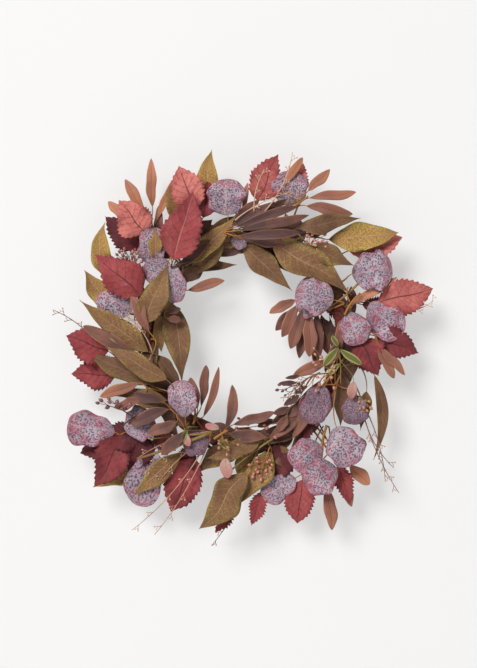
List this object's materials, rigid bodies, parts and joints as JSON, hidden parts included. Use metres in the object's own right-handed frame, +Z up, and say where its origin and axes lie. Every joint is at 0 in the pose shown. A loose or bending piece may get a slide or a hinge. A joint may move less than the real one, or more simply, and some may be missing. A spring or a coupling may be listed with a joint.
{
  "type": "harvest door wreath",
  "caption": "Harvest door wreath of faux autumn foliage: serrated red, silver-dollar eucalyptus, sage and copper leaves wired to a twisted vine ring.",
  "frame": {"origin": "nail point on the door plane, where the hanging loop rests", "axes": "+Z up, -Y out of the door towards the viewer, +X to the viewer's right; the door plane is y = 0"},
  "size_m": [0.4224, 0.0694, 0.4424],
  "materials": {
    "red_leaf": "matte printed polyester cloth",
    "gum_leaf": "matte printed polyester cloth",
    "sage_leaf": "matte printed polyester cloth",
    "copper_leaf": "satin printed polyester cloth",
    "bead_sprig": "satin moulded plastic",
    "grass_sprig": "matte moulded plastic",
    "vine": "natural bark",
    "wire": "brown lacquered florist's wire"
  },
  "bodies": {
    "hanger": {"hanging_loop": "wire"},
    "wreath": {"bead_sprig_bottom": "bead_sprig", "bead_sprig_upper_left": "bead_sprig", "binding_wire_1": "wire", "binding_wire_2": "wire", "copper_fan_inner_low": "copper_leaf", "copper_fan_right": "copper_leaf", "copper_fan_top": "copper_leaf", "copper_leaf_left": "copper_leaf", "copper_spray_inner_bottom": "copper_leaf", "copper_spray_inner_left": "copper_leaf", "copper_spray_inner_right": "copper_leaf", "copper_spray_left": "copper_leaf", "copper_spray_lower_right": "copper_leaf", "copper_spray_right_low": "copper_leaf", "copper_spray_top_right": "copper_leaf", "copper_spray_upper_left": "copper_leaf", "grass_sprig_bottom_left": "grass_sprig", "grass_sprig_right": "grass_sprig", "gum_leaf_inner_low": "gum_leaf", "gum_leaf_left": "gum_leaf", "gum_leaf_right": "gum_leaf", "gum_spray_bottom_left": "gum_leaf", "gum_spray_bottom_right": "gum_leaf", "gum_spray_far_right": "gum_leaf", "gum_spray_inner_left": "gum_leaf", "gum_spray_lower_left": "gum_leaf", "gum_spray_lower_right": "gum_leaf", "gum_spray_right_high": "gum_leaf", "gum_spray_top": "gum_leaf", "gum_spray_top_right": "gum_leaf", "gum_spray_upper_left": "gum_leaf", "red_leaf_front": "red_leaf", "red_leaf_left": "red_leaf", "red_spray_bottom": "red_leaf", "red_spray_bottom_left": "red_leaf", "red_spray_far_lower_left": "red_leaf", "red_spray_left": "red_leaf", "red_spray_right": "red_leaf", "red_spray_right_low": "red_leaf", "red_spray_top": "red_leaf", "red_spray_top_left": "red_leaf", "red_spray_upper_left": "red_leaf", "red_spray_upper_right": "red_leaf", "sage_leaf_inner_left": "sage_leaf", "sage_leaf_left": "sage_leaf", "sage_leaf_lower_left": "sage_leaf", "sage_spray_bottom": "sage_leaf", "sage_spray_far_left": "sage_leaf", "sage_spray_hanging_right": "sage_leaf", "sage_spray_inner_left": "sage_leaf", "sage_spray_inner_top": "sage_leaf", "sage_spray_left_low": "sage_leaf", "sage_spray_right": "sage_leaf", "sage_spray_top": "sage_leaf", "sage_spray_upper_right": "sage_leaf", "sage_spray_upper_right_back": "sage_leaf", "vine_1": "vine", "vine_2": "vine", "vine_3": "vine"}
  },
  "joints": [
    {"name": "wreath_tilt", "type": "hinge", "parent": "hanger", "child": "wreath", "pos_m": [0, -0.012, -0.037], "axis": [1, 0, 0], "range_deg": [-12, 0]}
  ]
}
